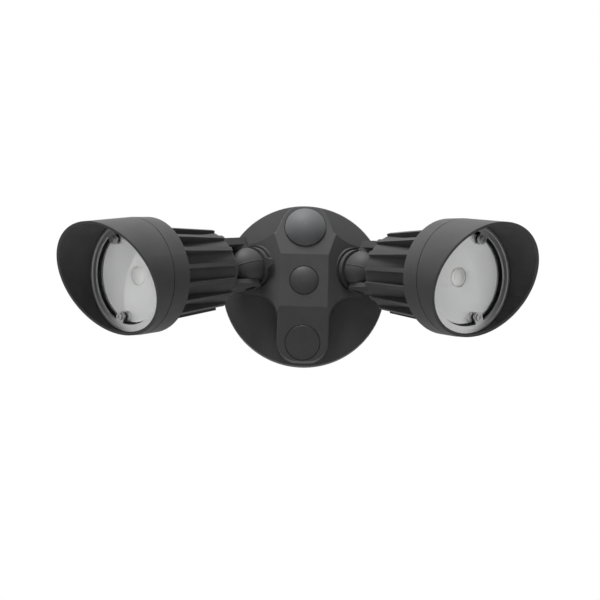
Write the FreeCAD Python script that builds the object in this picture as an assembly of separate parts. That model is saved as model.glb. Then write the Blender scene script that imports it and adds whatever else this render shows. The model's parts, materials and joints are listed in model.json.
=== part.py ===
import FreeCAD, Part
import math
import os

# Twin-head motion sensor security light on a round wall canopy.
# Millimetres. +Z is up, the wall is the plane y = 0, the light looks along -Y.
# The origin is the centre of the canopy's back face.

V = FreeCAD.Vector

# Canopy: a round cast cover with a raised cross of four arms
box_screw_spacing = 88.9
canopy_cover = 19.05
rim_height = 8.4
rim_round = 0.8
dome_rise = 6.8
canopy_wall = 3.0
wall_gasket_width = 4.0
wall_gasket_depth = 3.0
plateau_height = 32.5
plateau_inset = 1.4
plateau_half_height = 20.6
side_slope = 38.0
end_slope = 14.0
arm_half_width = 20.0
side_arm_drop = 1.06
side_arm_upper_sweep = 32.0
lower_sweep = 19.8
shoulder_step = 3.5
shoulder_drop = 1.52
shoulder_overlap = 2.5
top_arm_margin = 3.0
bottom_arm_margin = 1.6
bottom_end_flat = 4.0
lobe_width_loss = 0.5
lobe_rise = 8.0
casting_edge_round = 1.2

# Ports: parallel half-inch threads all round
thread_radius = 10.3
thread_clearance = 0.08
port_side_tilt = 38.0
port_down_tilt = 10.0
port_boss_radius = 17.0
port_boss_depth = 6.0
seat_clearance = 0.6

# Top port with the sensor under a dark dome
sensor_inset = 20.7
sensor_gap = 0.6
sensor_pocket_radius = 16.4
sensor_pocket_depth = 1.2
sensor_dome_height = 7.4
sensor_dome_wall = 1.3
sensor_stem_length = 13.0
sensor_nut_radius = 13.2
sensor_nut_height = 3.0
pir_can_radius = 4.6
pir_can_height = 4.2
small_board_thickness = 1.6

# Bottom port with its closure plug
plug_inset = 15.7
plug_gap = 0.35
plug_pocket_radius = 13.8
plug_pocket_depth = 2.0
plug_gasket_thickness = 0.8
plug_stem_length = 8.0
plug_proud = 0.25

# Centre bolt, its cap and the bar behind the canopy
cap_pocket_radius = 11.4
cap_pocket_depth = 1.5
cap_height = 3.8
cap_gap = 0.6
bolt_radius = 3.0
bolt_head_radius = 6.0
bolt_head_height = 4.0
bolt_well_radius = 7.6
bolt_well_depth = 9.0
bolt_clearance = 0.3
bar_half_width = 9.5
bar_end_gap = 4.5
bar_thickness = 2.5
bar_slot_width = 4.8
bar_slot_length = 10.0
bar_tapped_radius = 2.1
bar_tapped_level = 22.0

# Control board inside the lower arm
board_length = 28.0
board_width = 18.0
board_level = -23.0
board_depth = 20.0
relay_height = 9.0
relay_width = 14.0
relay_depth = 10.0
relay_inset = 6.5
capacitor_radius = 3.0
capacitor_height = 7.5
capacitor_inset = 4.5
standoff_radius = 2.6

# Knuckle: a hollow ball stud clamped between two arms
port_run = 19.92
port_proud = 0.57
port_level = 12.06
ball_radius = 15.4
ball_shoulder = 8.5
pivot_boss_radius = 8.0
pivot_boss_half = 16.2
pivot_gap = 0.05
pivot_bolt_radius = 2.5
running_clearance = 0.08
lead_bore_radius = 6.0
lock_ring_radius = 15.4
lock_ring_height = 3.7
lock_lug_length = 4.8
lock_lug_width = 8.0
lock_lug_clearance = 0.4
port_gasket_thickness = 0.8
stem_nut_radius = 12.0
stem_nut_gap = 0.1
stem_nut_height = 3.5
stem_tail = 1.5

# Fork on the back of each head
fork_arm_thickness = 5.6
fork_half_width = 10.5
fork_bore_radius = 4.2
fork_tip_radius = 8.0
lower_boss_half = 12.0
lower_arm_edge = 2.2
lower_arm_flat = 6.0
neck_radius = 26.0
neck_tip_radius = 10.5
neck_gap = 1.0
pivot_head_radius = 4.6
pivot_head_depth = 3.4
pivot_head_gap = 0.2
pivot_head_sunk = 0.3
pivot_socket_radius = 1.9
pivot_socket_depth = 2.2
pivot_end_sunk = 0.5

# Head: finned body, hood, bezel and what they hold
pivot_to_bezel = 122.5
body_rear = 86.5
ring_rear = 23.1
ring_front = 6.0
ring_front_radius = 44.2
ring_rear_radius = 43.5
body_end_radius = 30.4
body_end_round = 3.0
rib_count = 16
rib_width = 3.2
rib_crest_front = 35.6
rib_flare_start = 34.0
groove_floor_front = 28.4
groove_floor_rear = 29.4
pocket_slope_depth = 2.9
driver_bore_radius = 24.8
body_end_thickness = 8.0
front_bore_inset = 7.4
front_bore_floor = 15.5

hood_wall = 2.2
hood_tip_radius = 43.1
hood_top_reach = 41.2
hood_bottom_reach = 1.4
hood_flange_thickness = 1.5
hood_flange_inset = 2.3
hood_seam_width = 0.6
hood_seam_depth = 0.6

bezel_gap = 0.7
bezel_width = 5.2
bezel_thickness = 1.8
bezel_lip_width = 1.5
bezel_lip_height = 0.8
lug_inset = 4.2
lug_radius = 3.8
lug_angles = (196.0, 310.0, 82.0)
lug_grip = 1.5
screw_radius = 1.4
screw_clearance = 0.05
screw_head_radius = 2.7
screw_cross_half = 1.6
screw_cross_width = 0.7
screw_cross_depth = 0.8
screw_head_height = 1.6
screw_length = 14.0
screw_boss_radius = 2.7
reflector_notch_gap = 0.3

lens_thickness = 3.0
lens_edge_gap = 0.4
lens_gasket_thickness = 1.2
lens_gasket_width = 4.1
lens_gasket_pad = 2.9
reflector_wall = 1.2
reflector_throat = 7.6
reflector_clearance = 0.1
reflector_lip_inset = 0.2
reflector_edge_gap = 0.4
reflector_collar_wall = 1.0
reflector_collar_gap = 0.1
bowl_power = 1.7
bowl_steps = 6
led_plate_thickness = 2.5
led_plate_gap = 0.3
led_board_thickness = 1.4
led_board_inset = 10.1
lead_hole_radius = 2.0
lead_hole_gap = 1.0
led_chip_gap = 0.6
led_chip_thickness = 0.8
driver_radius = 24.4
driver_length = 46.0

# How each head stands in the photograph, in degrees
rest_swivel = {"left": 15.5, "right": 10.1}
rest_bend = {"left": 7.1, "right": 0.2}
side_sign = {"left": -1, "right": 1}
lock_lug_clock = {"left": -8.0, "right": 82.0}

# Places that follow from the sizes above
reach = 200.0
seat_distance = ball_shoulder + lock_ring_height + port_gasket_thickness
stem_end = seat_distance + port_boss_depth + stem_nut_height + stem_tail
port_bore_radius = thread_radius + thread_clearance
fork_inner = pivot_boss_half + pivot_gap
fork_outer = fork_inner + fork_arm_thickness
lower_inner = lower_boss_half + pivot_gap
lower_outer = lower_inner + fork_arm_thickness
bezel_outer_radius = ring_front_radius - hood_wall - bezel_gap
bezel_inner_radius = bezel_outer_radius - bezel_width
lug_circle_radius = bezel_inner_radius - lug_inset
led_plate_radius = lug_circle_radius - screw_boss_radius - led_plate_gap
led_board_radius = led_plate_radius - led_board_inset
hood_flange_radius = bezel_outer_radius - hood_flange_inset
lens_radius = hood_flange_radius - lens_edge_gap
lens_gasket_inner = lens_radius - lens_gasket_width
front_bore_radius = ring_front_radius - front_bore_inset
canopy_radius = box_screw_spacing / 2 + canopy_cover
sensor_level = canopy_radius - sensor_inset
plug_level = canopy_radius - plug_inset
bar_half_length = canopy_radius - canopy_wall - wall_gasket_width - bar_end_gap
plateau_half_width = arm_half_width - plateau_inset
side_arm_centre = port_level - side_arm_drop
side_arm_rise = side_arm_upper_sweep - math.sqrt(side_arm_upper_sweep ** 2 - arm_half_width ** 2)
top_arm_shoulder = arm_half_width + shoulder_step
top_arm_shoulder_level = side_arm_centre + arm_half_width + side_arm_rise - shoulder_drop


def place(origin, direction, up_hint, turn=0.0):
    """Placement with local Z along direction and local Y near up_hint, turned about Z."""
    z = V(direction)
    z.normalize()
    y = up_hint - z * up_hint.dot(z)
    y.normalize()
    x = y.cross(z)
    basis = FreeCAD.Matrix(
        x.x, y.x, z.x, origin.x,
        x.y, y.y, z.y, origin.y,
        x.z, y.z, z.z, origin.z,
        0, 0, 0, 1)
    spin = FreeCAD.Placement(V(0, 0, 0), FreeCAD.Rotation(V(0, 0, 1), turn))
    return FreeCAD.Placement(basis).multiply(spin)


def moved(shape, placement):
    """A copy of shape carried from its own frame by placement."""
    copy = shape.copy()
    copy.Placement = placement.multiply(copy.Placement)
    return copy


def rod(radius, low, high, x=0.0, y=0.0):
    """Cylinder along Z from low to high."""
    return Part.makeCylinder(radius, high - low, V(x, y, low))


def tube(outer, inner, low, high):
    """Plain ring or sleeve along Z."""
    return rod(outer, low, high).cut(rod(inner, low - 1, high + 1))


def block(x0, x1, y0, y1, z0, z1):
    """Box between two corners."""
    return Part.makeBox(x1 - x0, y1 - y0, z1 - z0, V(x0, y0, z0))


def turned(points):
    """Solid turned about Z from a closed list of (radius, height) corners or edges."""
    edges = []
    for start, end in zip(points, points[1:] + points[:1]):
        if isinstance(start, tuple) and isinstance(end, tuple):
            edges.append(Part.makeLine(V(start[0], 0, start[1]), V(end[0], 0, end[1])))
    face = Part.Face(Part.Wire(edges))
    return face.revolve(V(0, 0, 0), V(0, 0, 1), 360)


def prism(points, low, high):
    """Straight prism along Z over a closed polygon of (x, y) corners."""
    corners = [V(x, y, low) for x, y in points]
    face = Part.Face(Part.makePolygon(corners + corners[:1]))
    return face.extrude(V(0, 0, high - low))


def hexagon(radius):
    """Corners of a regular hexagon round the origin."""
    angles = [math.radians(60 * index) for index in range(6)]
    return [(radius * math.cos(angle), radius * math.sin(angle)) for angle in angles]


def union(first, *others):
    """One clean solid from overlapping pieces."""
    return first.multiFuse(list(others)).removeSplitter()


# The canopy and what it holds are drawn as seen on the wall:
# x to the right, y up, z out from the wall.
to_wall = FreeCAD.Placement(V(0, 0, 0), FreeCAD.Rotation(V(1, 0, 0), 90))


def slope_drop(run, angle):
    return run * math.tan(math.radians(angle))


def facet_height(level):
    """Height of the top or bottom facet above the wall at a distance from the centre."""
    return plateau_height - slope_drop(level - plateau_half_height, end_slope)


def roof(inset):
    """Plateau with two steep side facets and two gentle end facets."""
    top = plateau_height - inset
    half_x = plateau_half_width - inset * math.tan(math.radians(side_slope / 2))
    half_y = plateau_half_height - inset * math.tan(math.radians(end_slope / 2))
    foot_x = half_x + top / math.tan(math.radians(side_slope))
    foot_y = half_y + top / math.tan(math.radians(end_slope))
    side_corners = [V(-foot_x, -reach, 0), V(-half_x, -reach, top), V(half_x, -reach, top), V(foot_x, -reach, 0)]
    end_corners = [V(-reach, -foot_y, 0), V(-reach, -half_y, top), V(-reach, half_y, top), V(-reach, foot_y, 0)]
    sides = Part.Face(Part.makePolygon(side_corners + side_corners[:1])).extrude(V(0, 2 * reach, 0))
    ends = Part.Face(Part.makePolygon(end_corners + end_corners[:1])).extrude(V(2 * reach, 0, 0))
    return sides.common(ends)


def cross_plan(inset):
    """Upright walls of the cross, drawn in by inset."""
    top = plateau_height + 1
    arm = arm_half_width - inset
    low_edge = side_arm_centre - arm
    corner_level = top_arm_shoulder_level - inset
    high_edge = corner_level + shoulder_overlap
    side_reach = canopy_radius
    sides = block(-side_reach, side_reach, low_edge, high_edge, 0, top)
    sweep = side_arm_upper_sweep + inset
    sweep_x = top_arm_shoulder + arm_half_width
    sweep_y = side_arm_centre + arm_half_width + side_arm_upper_sweep
    sides = sides.cut(rod(sweep, -1, top + 1, -sweep_x, sweep_y))
    sides = sides.cut(rod(sweep, -1, top + 1, sweep_x, sweep_y))
    beyond = block(sweep_x, side_reach + 1, side_arm_centre + arm, high_edge + 1, -1, top + 1)
    sides = sides.cut(beyond).cut(beyond.mirror(V(0, 0, 0), V(1, 0, 0)))
    lobe_radius = arm_half_width - lobe_width_loss - inset
    lobe_half = math.sqrt(lobe_radius ** 2 - lobe_rise ** 2)
    shoulder = top_arm_shoulder - inset
    trapezoid = [(-shoulder, 0), (shoulder, 0), (shoulder, corner_level),
                 (lobe_half, sensor_level + lobe_rise), (-lobe_half, sensor_level + lobe_rise),
                 (-shoulder, corner_level)]
    upper = prism(trapezoid, 0, top)
    lobe = rod(lobe_radius, 0, top, 0, sensor_level)
    end = -(canopy_radius - bottom_arm_margin - inset)
    corner = arm_half_width - bottom_end_flat - inset
    lower = block(-arm, arm, end + corner, 0, 0, top)
    toe = block(-arm + corner, arm - corner, end, end + corner, 0, top)
    rounds = [rod(corner, 0, top, sign * (arm - corner), end + corner) for sign in (-1, 1)]
    webs = []
    for sign in (-1, 1):
        x_far = sign * (arm_half_width + lower_sweep)
        x_near = sign * (arm - 1)
        y_far = side_arm_centre - arm_half_width - lower_sweep
        web = block(min(x_near, x_far), max(x_near, x_far), y_far, low_edge + 1, 0, top)
        webs.append(web.cut(rod(lower_sweep + inset, -1, top + 1, x_far, y_far)))
    whole = union(sides, upper, lobe, lower, toe, *rounds, *webs)
    whole = whole.common(rod(canopy_radius - bottom_arm_margin - inset, -1, top + 1))
    beyond_top = block(-reach, reach, top_arm_shoulder_level, reach, -2, top + 2)
    beyond_top = beyond_top.cut(rod(canopy_radius - top_arm_margin - inset, -3, top + 3))
    return whole.cut(beyond_top)


def dome(radius, base, rise, height_at_rim):
    """Turned plate with a shallow spherical crown above an upright rim."""
    sphere = (radius ** 2 + rise ** 2) / (2 * rise)
    ball = Part.makeSphere(sphere, V(0, 0, height_at_rim + rise - sphere))
    return rod(radius, base, height_at_rim + rise + 1).common(ball)


def sensor_frame():
    angle = math.radians(end_slope)
    return place(V(0, sensor_level, facet_height(sensor_level)), V(0, math.sin(angle), math.cos(angle)), V(0, 1, 0))


def plug_frame():
    angle = math.radians(end_slope)
    return place(V(0, -plug_level, facet_height(plug_level)), V(0, -math.sin(angle), math.cos(angle)), V(0, 1, 0))


def port_axis(side):
    """Unit vector out of a side port, in the wall view."""
    out = math.radians(port_side_tilt)
    down = math.radians(port_down_tilt)
    return V(side_sign[side] * math.sin(out) * math.cos(down), -math.sin(down), math.cos(out) * math.cos(down))


def knuckle_frame(side, turn=0.0):
    """Frame at the knuckle centre with Z out of the port."""
    facet = plateau_height - slope_drop(port_run, side_slope) + port_proud
    seat = V(side_sign[side] * (plateau_half_width + port_run), port_level, facet)
    centre = seat + port_axis(side) * seat_distance
    return place(centre, port_axis(side), V(0, 1, 0), turn)


def canopy():
    crown_inner = dome_rise - canopy_wall
    plate = dome(canopy_radius - rim_round, 0, dome_rise, rim_height)
    rim = rod(canopy_radius, 0, rim_height - rim_round)
    rolled = Part.makeTorus(canopy_radius - rim_round, rim_round, V(0, 0, rim_height - rim_round))
    shell = union(plate, rim, rolled)
    cross = cross_plan(0).common(roof(0))
    crest = [edge for edge in cross.Edges if edge.BoundBox.ZMin > rim_height + dome_rise + casting_edge_round]
    cross = cross.makeFillet(casting_edge_round, crest)
    shell = union(shell, cross)
    cavity_radius = canopy_radius - canopy_wall - wall_gasket_width
    cavity = dome(cavity_radius, -1, crown_inner * 0.8, rim_height - canopy_wall)
    cross_cavity = cross_plan(canopy_wall).common(roof(canopy_wall))
    shell = shell.cut(union(cavity, cross_cavity.common(rod(cavity_radius, -1, plateau_height))))
    shell = shell.cut(rod(canopy_radius - canopy_wall, -1, wall_gasket_depth))

    inside = []
    for side in side_sign:
        frame = knuckle_frame(side)
        seat = rod(port_boss_radius, -seat_distance - port_boss_depth, -seat_distance)
        inside.append(moved(seat, frame))
    sensor_ring = rod(sensor_nut_radius + 1.5, -canopy_wall - 0.5, -sensor_pocket_depth)
    inside.append(moved(sensor_ring, sensor_frame()))
    plug_ring = rod(plug_pocket_radius + 1.2, -plug_pocket_depth - 4.0, -plug_pocket_depth)
    inside.append(moved(plug_ring, plug_frame()))
    inside.append(rod(bolt_well_radius + 2.5, plateau_height - bolt_well_depth - 3.0, plateau_height - canopy_wall + 1))
    for sign in (-1, 1):
        x = sign * (board_length / 2 - standoff_radius)
        inside.append(rod(standoff_radius, board_depth, plateau_height - canopy_wall + 1, x, board_level))
    shell = union(shell, *inside)

    cuts = []
    for side in side_sign:
        frame = knuckle_frame(side)
        cuts.append(moved(rod(port_boss_radius + seat_clearance, -seat_distance, reach), frame))
        cuts.append(moved(rod(port_bore_radius, -reach / 4, reach), frame))
    cuts.append(moved(rod(sensor_pocket_radius, -sensor_pocket_depth, reach), sensor_frame()))
    cuts.append(moved(rod(port_bore_radius, -reach / 8, reach), sensor_frame()))
    cuts.append(moved(rod(plug_pocket_radius, -plug_pocket_depth, reach), plug_frame()))
    cuts.append(moved(rod(port_bore_radius, -reach / 8, reach), plug_frame()))
    cuts.append(rod(cap_pocket_radius, plateau_height - cap_pocket_depth, reach))
    cuts.append(rod(bolt_well_radius, plateau_height - bolt_well_depth, reach))
    cuts.append(rod(bolt_radius + bolt_clearance, -1, reach))
    for cutter in cuts:
        shell = shell.cut(cutter)
    return moved(shell, to_wall)


def wall_gasket():
    outer = canopy_radius - canopy_wall - 0.1
    return moved(tube(outer, outer - wall_gasket_width, 0, wall_gasket_depth), to_wall)


def mounting_bar():
    bar = block(-bar_half_width, bar_half_width, -bar_half_length, bar_half_length, 0, bar_thickness)
    bar = bar.cut(rod(bolt_radius + running_clearance, -1, bar_thickness + 1))
    for sign in (-1, 1):
        middle = sign * box_screw_spacing / 2
        half = (bar_slot_length - bar_slot_width) / 2
        radius = bar_slot_width / 2
        slot = block(-radius, radius, middle - half, middle + half, -1, bar_thickness + 1)
        bar = bar.cut(slot)
        bar = bar.cut(rod(radius, -1, bar_thickness + 1, 0, middle - half))
        bar = bar.cut(rod(radius, -1, bar_thickness + 1, 0, middle + half))
        bar = bar.cut(rod(bar_tapped_radius, -1, bar_thickness + 1, 0, sign * bar_tapped_level))
    return moved(bar, to_wall)


def earth_screw():
    shank = rod(bar_tapped_radius - 0.05, 0, bar_thickness, 0, bar_tapped_level)
    head = rod(bar_tapped_radius * 1.9, bar_thickness, bar_thickness + 2.4, 0, bar_tapped_level)
    half = bar_tapped_radius * 2
    slot_floor = bar_thickness + 1.4
    slot = block(-0.6, 0.6, bar_tapped_level - half, bar_tapped_level + half, slot_floor, slot_floor + 2)
    return moved(union(shank, head).cut(slot), to_wall)


def centre_bolt():
    seat = plateau_height - bolt_well_depth
    head = prism(hexagon(bolt_head_radius), seat, seat + bolt_head_height)
    shank = rod(bolt_radius, 0.2, seat)
    return moved(union(head, shank), to_wall)


def centre_cap():
    edge = cap_pocket_radius - cap_gap
    base = plateau_height - cap_pocket_depth
    crown = dome(edge, base, cap_height - cap_pocket_depth, plateau_height)
    skirt = tube(bolt_well_radius - 0.05, bolt_well_radius - 1.5, base - 2.5, base)
    return moved(union(crown, skirt), to_wall)


def sensor_base():
    frame = to_wall.multiply(sensor_frame())
    flange_radius = sensor_pocket_radius - sensor_gap - sensor_dome_wall - 0.1
    flange = rod(flange_radius, -sensor_pocket_depth, 1.0 - sensor_dome_wall - 0.1)
    stem = rod(thread_radius, -sensor_stem_length, -sensor_pocket_depth)
    bore = rod(thread_radius - 3.6, -sensor_stem_length - 1, 1)
    board_pocket = rod(thread_radius - 2.2, -sensor_pocket_depth - small_board_thickness, 1)
    return moved(union(flange, stem).cut(bore).cut(board_pocket), frame)


def sensor_board():
    frame = to_wall.multiply(sensor_frame())
    low = -sensor_pocket_depth - small_board_thickness
    return moved(rod(thread_radius - 2.3, low, low + small_board_thickness), frame)


def pir_sensor():
    frame = to_wall.multiply(sensor_frame())
    low = -sensor_pocket_depth
    can = rod(pir_can_radius - 0.5, low, low + pir_can_height)
    flange = rod(pir_can_radius, low, low + 0.6)
    return moved(union(can, flange), frame)


def sensor_dome():
    frame = to_wall.multiply(sensor_frame())
    edge = sensor_pocket_radius - sensor_gap
    outer = dome(edge, -sensor_pocket_depth, sensor_dome_height - 1.0, 1.0)
    inner_edge = edge - sensor_dome_wall
    inner = dome(inner_edge, -sensor_pocket_depth - 1, sensor_dome_height - 1.0, 1.0 - sensor_dome_wall)
    return moved(outer.cut(inner), frame)


def sensor_nut():
    frame = to_wall.multiply(sensor_frame())
    low = -canopy_wall - 0.5 - sensor_nut_height
    ring = tube(sensor_nut_radius, thread_radius + 0.05, low, low + sensor_nut_height)
    return moved(ring, frame)


def control_board():
    half = board_length / 2
    low = board_depth - small_board_thickness
    plate = block(-half, half, board_level - board_width / 2, board_level + board_width / 2, low, board_depth)
    relay_left = -half + relay_inset
    relay_low = board_level - relay_depth / 2
    relay = block(relay_left, relay_left + relay_width, relay_low, relay_low + relay_depth, low - relay_height, low)
    capacitor_x = half - capacitor_inset
    capacitor_y = board_level - board_width / 2 + capacitor_inset
    capacitor = rod(capacitor_radius, low - capacitor_height, low, capacitor_x, capacitor_y)
    return moved(union(plate, relay, capacitor), to_wall)


def bottom_plug():
    frame = to_wall.multiply(plug_frame())
    edge = plug_pocket_radius - plug_gap
    low = -plug_pocket_depth + plug_gasket_thickness
    chamfer = 0.5
    head = turned([(0, low), (edge, low), (edge, plug_proud - chamfer), (edge - chamfer, plug_proud), (0, plug_proud)])
    stem = rod(thread_radius, -plug_pocket_depth - plug_stem_length, low)
    hollow = rod(thread_radius - 2.5, -plug_pocket_depth - plug_stem_length - 1, low - 1.5)
    return moved(union(head, stem).cut(hollow), frame)


def bottom_plug_gasket():
    frame = to_wall.multiply(plug_frame())
    low = -plug_pocket_depth
    ring = tube(plug_pocket_radius - 0.6, thread_radius + 0.2, low, low + plug_gasket_thickness)
    return moved(ring, frame)


# Stem parts are drawn at the knuckle: Z out of the port, Y along the hinge bolt.

def stem_frame(side):
    turn = -side_sign[side] * rest_swivel[side]
    return to_wall.multiply(knuckle_frame(side, turn))


def knuckle_stem():
    ball = Part.makeSphere(ball_radius)
    ball = ball.common(block(-reach, reach, -lower_boss_half, reach, -ball_shoulder, reach))
    across = FreeCAD.Placement(V(0, 0, 0), FreeCAD.Rotation(V(1, 0, 0), -90))
    boss = moved(rod(pivot_boss_radius, -lower_boss_half, pivot_boss_half), across)
    stem = rod(thread_radius, -stem_end, 0)
    body = union(ball, boss, stem)
    body = body.cut(rod(lead_bore_radius, -stem_end - 1, reach))
    bolt_hole = moved(rod(pivot_bolt_radius + running_clearance, -reach, reach), across)
    return body.cut(bolt_hole)


def lock_ring(side):
    low = -ball_shoulder - lock_ring_height
    ring = rod(lock_ring_radius, low, -ball_shoulder)
    lug_top = -max(ball_shoulder, fork_tip_radius + lock_lug_clearance)
    tip = lock_ring_radius + lock_lug_length
    half = lock_lug_width / 2
    outline = [(0, -half), (lock_ring_radius, -half), (tip, -half / 2), (tip, half / 2), (lock_ring_radius, half), (0, half)]
    lug = prism(outline, low, lug_top)
    lug = moved(lug, FreeCAD.Placement(V(0, 0, 0), FreeCAD.Rotation(V(0, 0, 1), lock_lug_clock[side])))
    return union(ring, lug).cut(rod(thread_radius + 0.05, low - 1, 0))


def port_gasket():
    low = -seat_distance
    return tube(lock_ring_radius - 0.6, thread_radius + 0.3, low, low + port_gasket_thickness)


def stem_nut():
    high = -seat_distance - port_boss_depth - stem_nut_gap
    return tube(stem_nut_radius, thread_radius + 0.05, high - stem_nut_height, high)


# Head parts are drawn with Z along the beam, Y up the hood and z = 0 at the bezel's face.

def head_frame(side):
    """Frame at the bezel's face."""
    bend = FreeCAD.Placement(V(0, 0, 0), FreeCAD.Rotation(V(0, 1, 0), side_sign[side] * rest_bend[side]))
    shift = FreeCAD.Placement(V(0, 0, pivot_to_bezel), FreeCAD.Rotation())
    return stem_frame(side).multiply(bend).multiply(shift)


def lug_places(side):
    """Centres of the bezel's screws; the two heads mirror each other."""
    turns = [math.radians(angle) for angle in lug_angles]
    across = side_sign[side] * lug_circle_radius
    return [(across * math.cos(turn), lug_circle_radius * math.sin(turn)) for turn in turns]


def lug_pads(side, radius, edge, low, high):
    """Round lugs at the screws, each joined to the ring whose inner edge is given."""
    pads = []
    for x, y in lug_places(side):
        bridge = block(0, edge + lug_grip, -radius, radius, low, high).cut(rod(lug_circle_radius, low - 1, high + 1))
        bridge = bridge.common(rod(edge + lug_grip, low, high))
        turn = FreeCAD.Rotation(V(0, 0, 1), math.degrees(math.atan2(y, x)))
        pads.append(rod(radius, low, high, x, y))
        pads.append(moved(bridge, FreeCAD.Placement(V(0, 0, 0), turn)))
    return pads


def crest_radius(back):
    """Height of the rib crests at a distance behind the bezel, a straight taper."""
    share = (back - rib_flare_start) / (body_rear - rib_flare_start)
    return rib_crest_front + (body_end_radius + 0.6 - rib_crest_front) * share


def rib():
    """One cooling rib, flared up to the ring, before it is turned round the body."""
    rear = -body_rear + body_end_round
    start = V(driver_bore_radius + 1.0, 0, rear)
    tail = V(crest_radius(body_rear - body_end_round), 0, rear)
    flare_end = V(rib_crest_front, 0, -rib_flare_start)
    flare_top = V(ring_rear_radius - 0.8, 0, -ring_rear + 0.5)
    foot = V(driver_bore_radius + 1.0, 0, -ring_rear + 0.5)
    slope = (flare_end - tail)
    slope.normalize()
    bezier = Part.BezierCurve()
    bezier.setPoles([flare_end, flare_end + slope * 6.0, flare_top - V(2.5, 0, 1.5), flare_top])
    edges = [Part.makeLine(start, tail), Part.makeLine(tail, flare_end), bezier.toShape(),
             Part.makeLine(flare_top, foot), Part.makeLine(foot, start)]
    blade = Part.Face(Part.Wire(edges)).extrude(V(0, rib_width, 0))
    blade.translate(V(0, -rib_width / 2, 0))
    return blade


def heat_sink(side):
    end = -body_rear
    profile = [(0, end), (body_end_radius - body_end_round, end),
               (groove_floor_rear, end + body_end_round),
               (groove_floor_front, -ring_rear - pocket_slope_depth),
               (ring_rear_radius - 1.2, -ring_rear), (ring_rear_radius, -ring_rear + 1.0),
               (ring_front_radius, -ring_front), (0, -ring_front)]
    body = turned(profile)
    ribs = []
    for index in range(rib_count):
        spin = FreeCAD.Rotation(V(0, 0, 1), 360.0 * (index + 0.5) / rib_count)
        ribs.append(moved(rib(), FreeCAD.Placement(V(0, 0, 0), spin)))
    pivot = -pivot_to_bezel
    neck_start = pivot + ball_radius + neck_gap
    neck = Part.makeCone(neck_tip_radius, neck_radius, end - neck_start, V(0, 0, neck_start))
    across = FreeCAD.Placement(V(0, 0, pivot), FreeCAD.Rotation(V(1, 0, 0), -90))
    span = pivot - end - 1
    taper = [(-fork_tip_radius, 0), (fork_tip_radius, 0), (fork_half_width, span), (-fork_half_width, span)]
    upper = union(prism(taper, fork_inner, fork_outer), rod(fork_tip_radius, fork_inner, fork_outer))
    lower = union(prism(taper, -lower_outer, -lower_inner), rod(fork_tip_radius, -lower_outer, -lower_inner))
    shoulder = -lower_inner - lower_arm_edge
    cheek = prism([(-fork_half_width, -lower_inner), (fork_half_width, -lower_inner), (fork_half_width, shoulder),
                   (lower_arm_flat, -lower_outer), (-lower_arm_flat, -lower_outer), (-fork_half_width, shoulder)],
                  pivot - fork_half_width, end + 2)
    lower = moved(lower, across).common(cheek)
    body = union(body, neck, moved(upper, across), lower, *ribs)
    body = body.cut(rod(driver_bore_radius, end + body_end_thickness, 1))
    front_bore = rod(front_bore_radius, -front_bore_floor, 1)
    for x, y in lug_places(side):
        front_bore = front_bore.cut(rod(screw_boss_radius, -front_bore_floor - 1, -ring_front - 2.0, x, y))
    body = body.cut(front_bore)
    for x, y in lug_places(side):
        body = body.cut(rod(screw_radius + screw_clearance, -screw_length - 1.0, 1, x, y))
    body = body.cut(rod(fork_bore_radius, neck_start - 1, end + body_end_thickness + 1))
    body = body.cut(moved(rod(pivot_bolt_radius + 0.02, -reach, reach), across))
    head_well = moved(rod(pivot_head_radius + pivot_head_gap, fork_outer - pivot_head_depth, reach), across)
    nut_well = moved(rod(pivot_head_radius + pivot_head_gap, -reach, -lower_outer + pivot_head_depth), across)
    return body.cut(head_well).cut(nut_well)


def pivot_bolt():
    across = FreeCAD.Placement(V(0, 0, -pivot_to_bezel), FreeCAD.Rotation(V(1, 0, 0), -90))
    seat = fork_outer - pivot_head_depth
    shank = rod(pivot_bolt_radius, -lower_outer + pivot_end_sunk, seat)
    head = rod(pivot_head_radius, seat, fork_outer - pivot_head_sunk)
    socket = prism(hexagon(pivot_socket_radius), fork_outer - pivot_socket_depth, fork_outer + 1)
    return moved(union(shank, head).cut(socket), across)


def pivot_nut():
    across = FreeCAD.Placement(V(0, 0, -pivot_to_bezel), FreeCAD.Rotation(V(1, 0, 0), -90))
    nut = prism(hexagon(pivot_head_radius), -lower_outer + pivot_end_sunk, -lower_outer + pivot_head_depth)
    nut = nut.cut(rod(pivot_bolt_radius + 0.03, -reach, reach))
    return moved(nut, across)


def hood():
    rear = -ring_front
    front = hood_top_reach + 1
    length = front - rear
    outer = Part.makeCone(ring_front_radius, hood_tip_radius, length, V(0, 0, rear))
    inner = Part.makeCone(ring_front_radius - hood_wall, hood_tip_radius - hood_wall, length, V(0, 0, rear))
    inner = inner.cut(rod(reach, rear - 1, rear + hood_flange_thickness))
    shell = outer.cut(inner).cut(rod(hood_flange_radius, rear - 1, front))
    shell = shell.cut(tube(reach, ring_front_radius - hood_seam_depth, rear - 1, rear + hood_seam_width))
    middle = (hood_top_reach + hood_bottom_reach) / 2
    swing = (hood_top_reach - hood_bottom_reach) / 2
    tilt = swing / hood_tip_radius
    beyond = [V(-reach, -reach, middle - reach * tilt), V(-reach, reach, middle + reach * tilt),
              V(-reach, reach, middle + reach * tilt + reach), V(-reach, -reach, middle + reach * tilt + reach)]
    cutter = Part.Face(Part.makePolygon(beyond + beyond[:1])).extrude(V(2 * reach, 0, 0))
    return shell.cut(cutter)


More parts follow.
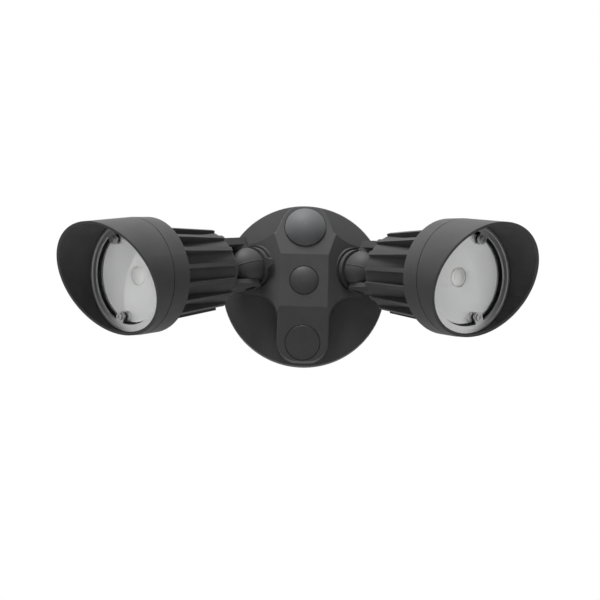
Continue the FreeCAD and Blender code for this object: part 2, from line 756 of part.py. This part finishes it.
def bezel_ring(side):
    top = tube(bezel_outer_radius, bezel_inner_radius, -bezel_thickness, 0)
    skirt_low = -ring_front + hood_flange_thickness
    skirt = tube(bezel_outer_radius, hood_flange_radius, skirt_low, -bezel_thickness)
    lip = tube(bezel_outer_radius, bezel_outer_radius - bezel_lip_width, -bezel_thickness, bezel_lip_height)
    ring = union(top, lip, skirt, *lug_pads(side, lug_radius, bezel_inner_radius, -bezel_thickness, 0))
    for x, y in lug_places(side):
        ring = ring.cut(rod(screw_radius + screw_clearance, -bezel_thickness - 1, 1, x, y))
    return ring


def bezel_screws(side):
    screws = []
    for x, y in lug_places(side):
        shank = rod(screw_radius, -screw_length, 0, x, y)
        head = rod(screw_head_radius, 0, screw_head_height, x, y)
        low = screw_head_height - screw_cross_depth
        half = screw_cross_width / 2
        along = block(x - screw_cross_half, x + screw_cross_half, y - half, y + half, low, screw_head_height + 1)
        over = block(x - half, x + half, y - screw_cross_half, y + screw_cross_half, low, screw_head_height + 1)
        cross = union(along, over)
        screws.append(union(shank, head).cut(cross))
    return Part.makeCompound(screws)


def lens(side):
    low = -ring_front + lens_gasket_thickness
    disc = rod(lens_radius, low, low + lens_thickness)
    for x, y in lug_places(side):
        disc = disc.cut(rod(screw_radius + 0.4, low - 1, low + lens_thickness + 1, x, y))
    return disc


def lens_gasket(side):
    low = -ring_front
    high = low + lens_gasket_thickness
    ring = tube(lens_radius, lens_gasket_inner, low, high)
    ring = union(ring, *lug_pads(side, lens_gasket_pad, lens_gasket_inner, low, high))
    for x, y in lug_places(side):
        ring = ring.cut(rod(screw_radius + 0.2, low - 1, high + 1, x, y))
    return ring


def led_levels():
    """Front faces of the mounting plate, the board and the chip, from the bore's floor."""
    plate = -front_bore_floor + led_plate_thickness
    board = plate + led_board_thickness
    return plate, board, board + led_chip_thickness


def bowl_curve(drop):
    """Inner line of the bowl, a power curve from the throat out to the lip, lowered by drop."""
    plate, board, chip = led_levels()
    throat_level = board + reflector_clearance + reflector_wall
    lip = lens_gasket_inner - reflector_lip_inset
    depth = -ring_front - throat_level
    points = []
    for step in range(bowl_steps + 1):
        share = step / bowl_steps
        radius = reflector_throat + (lip - reflector_throat) * share
        points.append(V(radius, 0, throat_level + depth * share ** bowl_power - drop))
    curve = Part.BSplineCurve()
    curve.interpolate(points)
    return curve.toShape(), points[0], points[-1]


def collared(bowl, side):
    """The bowl with a collar round each screw boss, open outwards for the gasket's pad."""
    notch = screw_boss_radius + reflector_notch_gap
    low = -ring_front - reflector_wall
    high = -ring_front + lens_gasket_thickness - reflector_collar_gap
    for x, y in lug_places(side):
        bowl = bowl.fuse(rod(notch + reflector_collar_wall, low, high, x, y))
    bowl = bowl.cut(tube(reach, lens_gasket_inner - reflector_collar_gap, -ring_front, 1))
    for pad in lug_pads(side, (lens_gasket_pad + notch) / 2, lens_gasket_inner, -ring_front, 1):
        bowl = bowl.cut(pad)
    for x, y in lug_places(side):
        bowl = bowl.cut(rod(notch, -front_bore_floor, 1, x, y))
    return bowl


def reflector(side):
    inner, inner_throat, inner_lip = bowl_curve(0)
    outer, outer_throat, outer_lip = bowl_curve(reflector_wall)
    edge_top = V(front_bore_radius - reflector_edge_gap, 0, inner_lip.z)
    edge_low = V(edge_top.x, 0, outer_lip.z)
    lines = [inner, Part.makeLine(inner_lip, edge_top), Part.makeLine(edge_top, edge_low),
             Part.makeLine(edge_low, outer_lip), outer, Part.makeLine(outer_throat, inner_throat)]
    bowl = Part.Face(Part.Wire(Part.__sortEdges__(lines))).revolve(V(0, 0, 0), V(0, 0, 1), 360)
    return collared(bowl, side)


def led_plate():
    plate, board, chip = led_levels()
    disc = rod(led_plate_radius, -front_bore_floor, plate)
    hole_place = led_board_radius + lead_hole_gap + lead_hole_radius
    return disc.cut(rod(lead_hole_radius, -front_bore_floor - 1, plate + 1, hole_place, 0))


def led_board():
    plate, board, chip = led_levels()
    return rod(led_board_radius, plate, board)


def led_chip():
    plate, board, chip = led_levels()
    return rod(reflector_throat - led_chip_gap, board, chip)


def driver():
    high = -front_bore_floor
    return rod(driver_radius, high - driver_length, high)


def write(name, shape):
    shape.exportStep("parts/" + name + ".step")


os.makedirs("parts", exist_ok=True)

wall_parts = {
    "canopy": canopy, "wall_gasket": wall_gasket, "mounting_bar": mounting_bar,
    "earth_screw": earth_screw, "centre_bolt": centre_bolt, "centre_cap": centre_cap,
    "sensor_base": sensor_base, "sensor_board": sensor_board, "pir_sensor": pir_sensor,
    "sensor_dome": sensor_dome, "sensor_nut": sensor_nut, "control_board": control_board,
    "bottom_plug": bottom_plug, "bottom_plug_gasket": bottom_plug_gasket,
}
for name, make in wall_parts.items():
    write(name, make())

stem_parts = {"knuckle_stem": knuckle_stem, "port_gasket": port_gasket, "stem_nut": stem_nut}
head_parts = {"pivot_bolt": pivot_bolt, "pivot_nut": pivot_nut, "hood": hood, "led_plate": led_plate,
              "led_board": led_board, "led_chip": led_chip, "driver": driver}
screwed_parts = {"heat_sink": heat_sink, "bezel_ring": bezel_ring, "bezel_screws": bezel_screws,
                 "lens": lens, "lens_gasket": lens_gasket, "reflector": reflector}

for side in side_sign:
    for name, make in stem_parts.items():
        write(side + "_" + name, moved(make(), stem_frame(side)))
    write(side + "_lock_ring", moved(lock_ring(side), stem_frame(side)))
    for name, make in head_parts.items():
        write(side + "_" + name, moved(make(), head_frame(side)))
    for name, make in screwed_parts.items():
        write(side + "_" + name, moved(make(side), head_frame(side)))
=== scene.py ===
# %% [markdown]
# A twin-head motion sensor security light, dressed for a studio picture.
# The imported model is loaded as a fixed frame: every CAD piece stays where it is. This file gives
# each one the finish of its real material, adds the few small pieces that are looks only, and
# sets the light and the camera. Places are in metres, with +Z up, +Y into the wall and +X to the
# right of someone who faces the light. Small sizes are written in millimetres and multiplied by MM.

# %% Load the frame
import json
import math
import bpy
import numpy as np
from mathutils import Matrix, Vector


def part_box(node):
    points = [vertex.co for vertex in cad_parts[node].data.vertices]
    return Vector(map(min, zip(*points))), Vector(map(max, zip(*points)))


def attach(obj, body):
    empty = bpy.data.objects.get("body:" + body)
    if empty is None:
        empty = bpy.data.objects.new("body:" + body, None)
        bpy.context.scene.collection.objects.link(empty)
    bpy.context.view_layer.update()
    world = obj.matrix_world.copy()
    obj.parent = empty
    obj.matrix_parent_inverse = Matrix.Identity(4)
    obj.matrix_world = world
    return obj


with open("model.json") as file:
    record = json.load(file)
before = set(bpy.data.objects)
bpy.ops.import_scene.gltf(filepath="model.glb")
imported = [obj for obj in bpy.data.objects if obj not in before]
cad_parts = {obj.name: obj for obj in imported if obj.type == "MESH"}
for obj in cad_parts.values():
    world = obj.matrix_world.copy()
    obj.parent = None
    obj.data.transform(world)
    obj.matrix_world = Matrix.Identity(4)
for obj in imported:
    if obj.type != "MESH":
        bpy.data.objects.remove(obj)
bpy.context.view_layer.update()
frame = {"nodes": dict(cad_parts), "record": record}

MM = 0.001

# %% [markdown]
# Colour. Blender's sockets take linear light, while a colour is easier to compare with a
# picture as an sRGB hex value. So every colour here is written in hex, and one function
# turns it to linear.

# %% Colours


def linear(hex_code):
    """sRGB hex to linear RGBA: c/12.92 up to 0.04045, else ((c + 0.055)/1.055)^2.4."""
    values = [int(hex_code[i:i + 2], 16) / 255 for i in (1, 3, 5)]
    return [c / 12.92 if c <= 0.04045 else ((c + 0.055) / 1.055) ** 2.4 for c in values] + [1.0]


print("charcoal in linear light", [round(value, 3) for value in linear("#494949")])

# %% [markdown]
# Nodes. A material is a small graph, and most of the typing goes into making nodes and joining
# them. One function does both: it takes the node's settings, the sockets that feed it, and the
# sockets that it feeds.

# %% One function for all nodes


def add(tree, kind, settings=None, links=None, into=None):
    """A node: settings by attribute or socket, links as {input: output}, into as {output: input}."""
    node = tree.nodes.new(kind)
    for key, value in (settings or {}).items():
        if isinstance(key, str) and hasattr(node, key):
            setattr(node, key, value)
        else:
            node.inputs[key].default_value = value
    for key, source in (links or {}).items():
        tree.links.new(source, node.inputs[key])
    for key, target in (into or {}).items():
        tree.links.new(node.outputs[key], target)
    return node


# %% [markdown]
# A finish, in general. Real surfaces are never one flat colour: tone drifts a little over
# centimetres, and a fine grain, left by the mould, the coat or the brush, varies the gloss and
# catches the light. A picture of each surface could give that too, but it would need a fitted
# layout on every piece. Two noises need none: they read Object coordinates, so they keep their
# size in millimetres and stay fixed to the piece.

# %% The finish that all the materials share
PATCH_MM = 16.0             # distance over which the tone drifts
PATCH_DETAIL = 2.0          # octaves of noise in the tone
GRAIN_DETAIL = 3.0          # octaves of noise in the grain
TONE_ENDS = (0.3, 0.7)      # noise values that get the first and the second tone
RELIEF_STRENGTH = 0.5
FINISH = {}


def finish(slot, name, tones, roughness, grain_mm, relief_mm, stretch=(1.0, 1.0, 1.0), **sockets):
    """Tone between two hexes by the patches; roughness between two values and relief by the grain."""
    mat = bpy.data.materials.new(name)
    mat.use_nodes = True
    tree = mat.node_tree
    shader = tree.nodes["Principled BSDF"]
    where = add(tree, "ShaderNodeTexCoord")
    drawn = add(tree, "ShaderNodeMapping", {"Scale": stretch}, {"Vector": where.outputs["Object"]})
    grain = add(tree, "ShaderNodeTexNoise", {"Scale": 1 / (grain_mm * MM), "Detail": GRAIN_DETAIL},
                {"Vector": drawn.outputs["Vector"]})
    patch = add(tree, "ShaderNodeTexNoise", {"Scale": 1 / (PATCH_MM * MM), "Detail": PATCH_DETAIL},
                {"Vector": where.outputs["Object"]})
    tone = add(tree, "ShaderNodeValToRGB", None, {"Fac": patch.outputs["Fac"]},
               {"Color": shader.inputs["Base Color"]})
    for stop, place, code in zip(tone.color_ramp.elements, TONE_ENDS, tones):
        stop.position = place
        stop.color = linear(code)
    add(tree, "ShaderNodeMapRange", {"To Min": roughness[0], "To Max": roughness[1]},
        {"Value": grain.outputs["Fac"]}, {"Result": shader.inputs["Roughness"]})
    add(tree, "ShaderNodeBump", {"Strength": RELIEF_STRENGTH, "Distance": relief_mm * MM},
        {"Height": grain.outputs["Fac"]}, {"Normal": shader.inputs["Normal"]})
    for key, value in sockets.items():
        shader.inputs[key.replace("_", " ")].default_value = value
    FINISH[slot] = mat
    print(slot, "->", name, len(tree.nodes), "nodes")
    return shader


# %% [markdown]
# Powder coat. The canopy, the knuckles, the finned heads and their hoods are die-cast aluminium
# under a charcoal polyester powder coat, baked on. Bare metal under a clear layer would be the
# way for a lacquer; powder hides the metal, so one dark plastic-like skin is enough. The powder
# melts into a fine orange peel about 1 mm across, and its gloss is lower than a smooth plastic's,
# which the specular level follows.

# %% Charcoal powder coat
# A dry, even dark grey with broad soft highlights and no mirror image.
finish("cast_housing", "charcoal_powder_coat", tones=("#494949", "#4e4e4e"), roughness=(0.50, 0.62),
       grain_mm=1.1, relief_mm=0.05, Specular_IOR_Level=0.16)

# %% [markdown]
# Moulded plastics. The sensor's window is dark polyethylene, thin enough for body heat to pass.
# The base and nut behind it are nylon, the bolt's cap and the plug polycarbonate, and the driver
# is potted in a case. All are moulded in dyed plastic, so one skin with its colour in it is
# enough, and the mould gives the grain. Real mould grain is finer still; it is drawn 0.4 to
# 0.9 mm across so that a close view shows it.

# %% Window, nylon, caps and driver case
# The window is soft, slightly waxy and lighter than the housing round it.
finish("sensor_window", "dark_polyethylene_window", tones=("#5f6061", "#656667"),
       roughness=(0.58, 0.66), grain_mm=0.9, relief_mm=0.004, Specular_IOR_Level=0.3)
# Nylon is nearly black, with a dull sheen.
finish("black_plastic", "black_nylon", tones=("#222224", "#28282a"), roughness=(0.45, 0.60),
       grain_mm=0.4, relief_mm=0.02)
# The cap and the plug have the smoothest skin, and show a small highlight.
finish("cap_plastic", "charcoal_polycarbonate", tones=("#393939", "#3e3e3e"), roughness=(0.42, 0.52),
       grain_mm=0.4, relief_mm=0.02, Specular_IOR_Level=0.3)
# The driver's case is plain and matt.
finish("driver_case", "potted_driver_case", tones=("#2b2b2d", "#323234"), roughness=(0.50, 0.65),
       grain_mm=0.6, relief_mm=0.02)

# %% [markdown]
# Rubbers. The gaskets are silicone, moulded, and the wall gasket is cut from closed-cell foam,
# whose opened cells are about 0.7 mm across. Both scatter light at their skin, so all that they
# need is a dark tone, a high roughness and, for the foam, a deeper relief.

# %% Silicone and foam
# Silicone is black and dull, a dark line between the parts that it seals.
finish("gasket_rubber", "black_silicone_rubber", tones=("#161617", "#1c1c1d"),
       roughness=(0.60, 0.75), grain_mm=0.8, relief_mm=0.03)
# Cut foam looks dusty and very matt.
finish("foam_rubber", "closed_cell_foam_rubber", tones=("#232325", "#2b2b2d"),
       roughness=(0.80, 0.95), grain_mm=0.7, relief_mm=0.15)

# %% [markdown]
# Steels. The bar and the nuts are zinc-plated sheet and rod, the pivot's bolt and nut are
# blackened stainless, the bezel's screws are plain stainless, and the earth screw carries the
# green that tells the fitter where the earth wire goes. Each is a metal in the shader, whose tone
# colours its reflections. Rolled sheet has faint lines, so its grain is stretched along one
# direction; the rest is even.

# %% Steels
ROLLED = (1.0, 1.0, 0.15)
# Zinc is pale and slightly blue, and streaked by the rolls.
finish("zinc_steel", "zinc_plated_steel", tones=("#b4b6ba", "#c8cacd"), roughness=(0.28, 0.42),
       grain_mm=0.5, relief_mm=0.01, stretch=ROLLED, Metallic=1.0)
# Blackened stainless is a dark metal with a soft glint at the socket's edge.
finish("black_screw", "blackened_stainless_steel", tones=("#3a3b3d", "#48494b"),
       roughness=(0.32, 0.45), grain_mm=0.5, relief_mm=0.01, Metallic=1.0)
# Plain stainless gives each of the bezel's screws a small glint.
finish("screw_steel", "plain_stainless_steel", tones=("#a2a2a3", "#b0b0b1"),
       roughness=(0.32, 0.45), grain_mm=0.5, relief_mm=0.01, Metallic=1.0)
# Green passivation is a thin dye over bright metal.
finish("green_steel", "green_passivated_steel", tones=("#2c6b3c", "#357a46"),
       roughness=(0.35, 0.50), grain_mm=0.5, relief_mm=0.01, Metallic=1.0)
# Nickel on the sensor's can is smooth and shiny.
finish("sensor_can", "nickel_plated_can", tones=("#b9b9ba", "#cbcbcc"), roughness=(0.20, 0.32),
       grain_mm=0.5, relief_mm=0.01, Metallic=1.0)

# %% [markdown]
# Aluminium in the heads. The reflector is a shallow bowl, anodised to a satin that spreads light
# evenly instead of showing a picture of the room. A polished bowl would mirror single lamps as
# hard spots; the photograph has none, so the roughness is high for a metal. Its peening is about
# 1.6 mm across. The bezel is satin too, and the plate under the lamp's board is milled.

# %% Reflector, bezel and plate
# The bowl reads as a soft pale grey.
finish("satin_reflector", "satin_anodised_aluminium", tones=("#dadada", "#dfdfdf"),
       roughness=(0.44, 0.52), grain_mm=1.6, relief_mm=0.01, Metallic=1.0)
# The bezel is a darker satin ring.
finish("bezel_grey", "satin_grey_aluminium", tones=("#b6b6b7", "#bfbfc0"),
       roughness=(0.42, 0.52), grain_mm=0.9, relief_mm=0.01, Metallic=1.0)
# The plate is bare and shows the cutter's lines.
finish("bare_aluminium", "milled_aluminium", tones=("#c2c4c7", "#d0d2d4"),
       roughness=(0.30, 0.45), grain_mm=0.5, relief_mm=0.01, stretch=ROLLED, Metallic=1.0)

# %% [markdown]
# The lamp and the boards. A round field of phosphor lies under clear silicone on a ceramic chip.
# Unlit and behind the pane, it is a pale spot that nearly melts into the reflector. Silicone
# isn't a metal, but the photograph shows the spot nearly as bright as the bowl in the same light,
# so it takes the bowl's satin. The boards are glass fibre or metal under a printed solder mask.

# %% Chip and boards
# The lamp is a pale warm grey with a satin sheen.
finish("led_phosphor", "silicone_over_phosphor", tones=("#d4d4d1", "#dadad7"),
       roughness=(0.40, 0.50), grain_mm=0.8, relief_mm=0.005, Metallic=1.0)
# White mask is smooth and slightly glossy.
finish("white_board", "white_solder_mask", tones=("#d9d9d6", "#e3e3e0"), roughness=(0.35, 0.50),
       grain_mm=0.4, relief_mm=0.01)
# Green mask is darker, with the same gloss.
finish("circuit_board", "green_solder_mask", tones=("#12452a", "#185334"), roughness=(0.35, 0.50),
       grain_mm=0.4, relief_mm=0.02)

# %% [markdown]
# The pane. Tempered glass 3 mm thick. Light has to cross it twice to come back from the bowl.
# A thin clear pane lets nearly all of it pass straight, also the lamps' light, which a
# ray-traced block of glass would hold back as a caustic; so most of the pane is see-through by
# its alpha, and the rest refracts and mirrors as glass does.

# %% Clear glass
# Clear and nearly without colour: only its reflections show that it is there.
finish("clear_glass", "clear_tempered_glass", tones=("#fbfdfd", "#fdfefe"), roughness=(0.01, 0.03),
       grain_mm=9.0, relief_mm=0.0005, Transmission_Weight=1.0, IOR=1.45, Alpha=0.2)

# %% [markdown]
# Every node gets its finish. The record names a material slot for each CAD piece, and the same
# names are the keys of FINISH, so one loop dresses all of them and none can be forgotten. Only
# the material changes: the piece and its mesh stay as they were packed.

# %% Give every node its finish
slots = {part["node"]: part["material_slot"] for part in frame["record"]["subparts"]}
for node, thing in frame["nodes"].items():
    thing.data.materials.clear()
    thing.data.materials.append(FINISH[slots[node]])
print("finishes used", len(set(slots.values())))

# %% [markdown]
# Round pieces. The small pieces that are looks only are all turned shapes: a profile carried
# round an axis. The profile is a list of (radius, height) pairs and the surface is a function
# of two parameters, the place along the profile and the angle, worked out as whole arrays. A
# closed profile, such as a bead's circle, joins its end to its start and makes a ring; an open
# one is shut by a flat face at each end.

# %% A profile carried round an axis
LOOPS = 72                  # steps of the angle
BEAD_STEPS = 12             # steps round a bead's small circle


def turned_piece(name, profile, centre, axis, body, slot, closed):
    """p(s, t) = centre + r(s)(u cos t + v sin t) + h(s) axis, for a profile (r, h) in millimetres."""
    radius, height = np.array(profile, float).T * MM
    axis = np.array(axis, float) / np.linalg.norm(axis)
    side = np.cross(axis, (0.0, 0.0, 1.0))
    side /= np.linalg.norm(side)
    over = np.cross(axis, side)
    angle = np.linspace(0, 2 * np.pi, LOOPS, endpoint=False)
    spoke = np.outer(np.cos(angle), side) + np.outer(np.sin(angle), over)
    points = np.array(centre) + radius[:, None, None] * spoke + height[:, None, None] * axis
    count = len(radius)
    last = count if closed else count - 1
    row, turn = np.meshgrid(np.arange(last), np.arange(LOOPS), indexing="ij")
    after, beside = (row + 1) % count, (turn + 1) % LOOPS
    corners = (row * LOOPS + turn, row * LOOPS + beside, after * LOOPS + beside, after * LOOPS + turn)
    faces = np.stack(corners, -1).reshape(-1, 4).tolist()
    if not closed:
        start, end = range(LOOPS), range((count - 1) * LOOPS, count * LOOPS)
        faces += [list(start)[::-1], list(end)]
    mesh = bpy.data.meshes.new(name)
    mesh.from_pydata(points.reshape(-1, 3).tolist(), [], faces)
    mesh.polygons.foreach_set("use_smooth", np.ones(len(mesh.polygons), bool))
    mesh.materials.append(FINISH[slot])
    piece = bpy.data.objects.new(name, mesh)
    bpy.context.scene.collection.objects.link(piece)
    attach(piece, body)
    print(name, count * LOOPS, "points")


def bead_profile(ring_radius, bead_radius):
    """(r, h) = (R + b cos a, b sin a): a small circle of radius b whose middle is R from the axis."""
    around = np.linspace(0, 2 * np.pi, BEAD_STEPS, endpoint=False)
    return np.stack([ring_radius + bead_radius * np.cos(around), bead_radius * np.sin(around)], -1)


# %% [markdown]
# The lamp's dam and dome. On the real chip a white silicone dam is laid as a bead round the
# phosphor, and clear silicone fills it and stands a little proud. A texture could draw both, but
# the bead's edge catches light as a thin ring, so both are real shapes. They sit on the chip's
# front face, on the head's own axis, which runs from the chip's middle to the pane's.

# %% Dam and dome on each chip
SIDES = ("left", "right")
CHIP_HALF = 0.4             # half the chip's thickness, from its middle to its front face
DAM_RADIUS = 6.3            # middle of the bead
DAM_BEAD = 0.42
DOME_INSET = 0.1            # how far inside the bead's middle the dome begins
DOME_START = 0.05           # height of its foot over the chip
DOME_RISE = 0.5
DOME_SWEEP = 1.5            # radians from foot to top, short of a right angle to leave a small flat
DOME_ROWS = 9


def middle(node):
    """Middle of a node's box; on a disc that is a point of its axis."""
    low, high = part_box(node)
    return (np.array(low) + np.array(high)) / 2


def dome_profile(foot_radius):
    """(r, h) = (R cos a, start + rise sin a): a quarter of an ellipse, from the foot to the top."""
    sweep = np.linspace(0, DOME_SWEEP, DOME_ROWS)
    return np.stack([foot_radius * np.cos(sweep), DOME_START + DOME_RISE * np.sin(sweep)], -1)


for side in SIDES:
    chip, pane = middle(side + "_led_chip"), middle(side + "_lens")
    ahead = (pane - chip) / np.linalg.norm(pane - chip)
    face = chip + ahead * CHIP_HALF * MM
    turned_piece(side + "_lamp_dam", bead_profile(DAM_RADIUS, DAM_BEAD), face, ahead,
                 side + "_head", "led_phosphor", closed=True)
    turned_piece(side + "_lamp_dome", dome_profile(DAM_RADIUS - DOME_INSET), face, ahead,
                 side + "_head", "led_phosphor", closed=False)

# %% [markdown]
# The knuckle's parting line. Each ball is cast in a two-part die, and where the halves of the die
# met a fine line stays, square to the pivot. It is a bead sunk in the ball, 0.3 mm proud of it,
# well inside the 1 mm that the head's neck leaves. It is a whole ring: its lower part is buried
# under the ball's shoulder, and its outer end spans the mouth of the lead bore, which the neck
# covers at rest and uncovers when the head is bent far to either side. The pivot's place and
# direction come from the joint in the record.

# %% Parting line on each ball
BALL_RADIUS = 15.4
LINE_BEAD = 0.5
LINE_SUNK = 0.2             # how far the bead's middle lies inside the ball's surface
joints = {joint["name"]: joint for joint in frame["record"]["behaviour"]["joints"]}
for side in SIDES:
    pivot = joints[side + "_tilt"]
    turned_piece(side + "_parting_line", bead_profile(BALL_RADIUS - LINE_SUNK, LINE_BEAD),
                 pivot["pos_m"], pivot["axis"], side + "_stem", "cast_housing", closed=True)

# %% [markdown]
# Light. The photograph is lit softly by one large source above, a little left and in front, with
# weak fill from both sides that keeps the fins and the undersides readable. A sun lamp would be
# simpler, but its shadows have hard edges, so the source is a lamp a metre wide. The surroundings
# are dim for matt surfaces, while the camera, mirrors and glass see plain white, so metal and
# glass show the bright studio without more light falling on the object.

# %% Lamps
AIMED_AT = (0.0, -0.05, 0.0)


def lamp(name, at, width, height, watts):
    """Rectangular area lamp, turned to the middle of the object."""
    data = bpy.data.lights.new(name, "AREA")
    data.shape = "RECTANGLE"
    data.size = width
    data.size_y = height
    data.energy = watts
    holder = bpy.data.objects.new(name, data)
    holder.location = at
    holder.rotation_euler = (Vector(AIMED_AT) - Vector(at)).to_track_quat("-Z", "Y").to_euler()
    bpy.context.scene.collection.objects.link(holder)
    print(name, watts, "W")


lamp("key_above", at=(-0.36, -0.60, 1.76), width=1.0, height=0.9, watts=53)
lamp("fill_left", at=(-1.3, -0.7, -0.5), width=0.8, height=0.8, watts=1.5)
lamp("fill_right", at=(1.3, -0.7, -0.6), width=0.8, height=0.8, watts=1.2)

# %% [markdown]
# Surroundings. A plain white world would be the simplest background, but it would also light the
# object from all round and wash out its shadows. So two backgrounds are mixed by the kind of ray:
# white for what is seen directly, in a mirror or through glass, and a dim even light for the rest.

# %% World
DIM = 0.16
WHITE = 1.0
WHITE_TONE = linear("#ffffff")


def seen_white(tree):
    """1 for rays that come from the camera, a mirror or glass, 0 for the rest."""
    path = add(tree, "ShaderNodeLightPath")
    mirrored = add(tree, "ShaderNodeMath", {"operation": "MAXIMUM"},
                   {0: path.outputs["Is Glossy Ray"], 1: path.outputs["Is Transmission Ray"]})
    seen = add(tree, "ShaderNodeMath", {"operation": "MAXIMUM"},
               {0: path.outputs["Is Camera Ray"], 1: mirrored.outputs["Value"]})
    return seen.outputs["Value"]


world = bpy.data.worlds.new("studio")
bpy.context.scene.world = world
world.use_nodes = True
sky = world.node_tree
sky.nodes.clear()
soft = add(sky, "ShaderNodeBackground", {"Color": WHITE_TONE, "Strength": DIM})
shown = add(sky, "ShaderNodeBackground", {"Color": WHITE_TONE, "Strength": WHITE})
mixed = add(sky, "ShaderNodeMixShader", None,
            {0: seen_white(sky), 1: soft.outputs["Background"], 2: shown.outputs["Background"]})
add(sky, "ShaderNodeOutputWorld", None, {"Surface": mixed.outputs["Shader"]})
print("world nodes", len(sky.nodes))

# %% [markdown]
# Floor. The light hangs on a wall and the photograph shows no floor, so a plain pale one lies
# far below, out of the picture. Other views see it, and there it has to be as pale as the
# background: most of it is plain white to the camera, and the rest takes light and shadow.

# %% Floor
FLOOR_HALF = 6.0
FLOOR_LEVEL = -1.0
FLOOR_WHITE = 0.8           # share of the floor that is plain white to the camera
corners = np.array([(-1, -1, 0), (1, -1, 0), (1, 1, 0), (-1, 1, 0)]) * FLOOR_HALF
corners += (0, 0, FLOOR_LEVEL)
floor_mesh = bpy.data.meshes.new("floor")
floor_mesh.from_pydata(corners.tolist(), [], [(0, 1, 2, 3)])
# A matt painted floor: pale, without a reflection.
matt = finish("floor", "pale_matt_floor", tones=("#e9e9e9", "#efefef"), roughness=(0.80, 0.90),
              grain_mm=4.0, relief_mm=0.01)
ground = FINISH["floor"].node_tree
share = add(ground, "ShaderNodeMath", {"operation": "MULTIPLY", 1: FLOOR_WHITE},
            {0: seen_white(ground)})
glow = add(ground, "ShaderNodeEmission", {"Color": WHITE_TONE, "Strength": WHITE})
add(ground, "ShaderNodeMixShader", None,
    {0: share.outputs["Value"], 1: matt.outputs["BSDF"], 2: glow.outputs["Emission"]},
    {"Shader": ground.nodes["Material Output"].inputs["Surface"]})
floor_mesh.materials.append(FINISH["floor"])
floor = bpy.data.objects.new("floor", floor_mesh)
bpy.context.scene.collection.objects.link(floor)
print("floor", 2 * FLOOR_HALF, "m wide at", FLOOR_LEVEL, "m")

# %% [markdown]
# Camera. The photograph is taken with a long lens from a little below the light's own level:
# ten degrees below, rolled a degree and a half. The camera stands back from the aim point along
# its own axis, and is slid left and down by the few pixels that put the light where the picture
# has it. Its three directions are written out and make the columns of its matrix, which is surer
# than three turns one after the other.

# %% Camera
ELEVATION = math.radians(-10.0)
ROLL = math.radians(1.5)
FOCAL_PX = 3000.0           # focal length in pixels of the picture
FRAME_PX = 600.0            # width of the picture
SENSOR_MM = 36.0
DISTANCE = 2.346            # from the aim point to the camera
SLIDE_PX = (3.84, 13.16)    # to the left and down, in pixels
AIM = Vector((0.0, -0.0035, 0.0))
CLIP_END = 100.0
pixel = DISTANCE / FOCAL_PX

back = Vector((0.0, -math.cos(ELEVATION), math.sin(ELEVATION)))
up = Vector((0.0, math.sin(ELEVATION), math.cos(ELEVATION)))
right = Vector((1.0, 0.0, 0.0))
rolled_right = right * math.cos(ROLL) + up * math.sin(ROLL)
rolled_up = up * math.cos(ROLL) - right * math.sin(ROLL)
place = (AIM + back * DISTANCE
         - rolled_right * SLIDE_PX[0] * pixel
         - rolled_up * SLIDE_PX[1] * pixel)
columns = (rolled_right, rolled_up, back, place)

camera = bpy.data.objects.new("camera", bpy.data.cameras.new("camera"))
bpy.context.scene.collection.objects.link(camera)
camera.data.sensor_width = SENSOR_MM
camera.data.lens = SENSOR_MM * FOCAL_PX / FRAME_PX
camera.data.clip_end = CLIP_END
camera.matrix_world = Matrix([list(row) for row in zip(*columns)] + [[0, 0, 0, 1]])
bpy.context.scene.camera = camera
bpy.context.scene.view_settings.view_transform = "Standard"
print("camera at", [round(value, 3) for value in place], "lens", camera.data.lens, "mm")
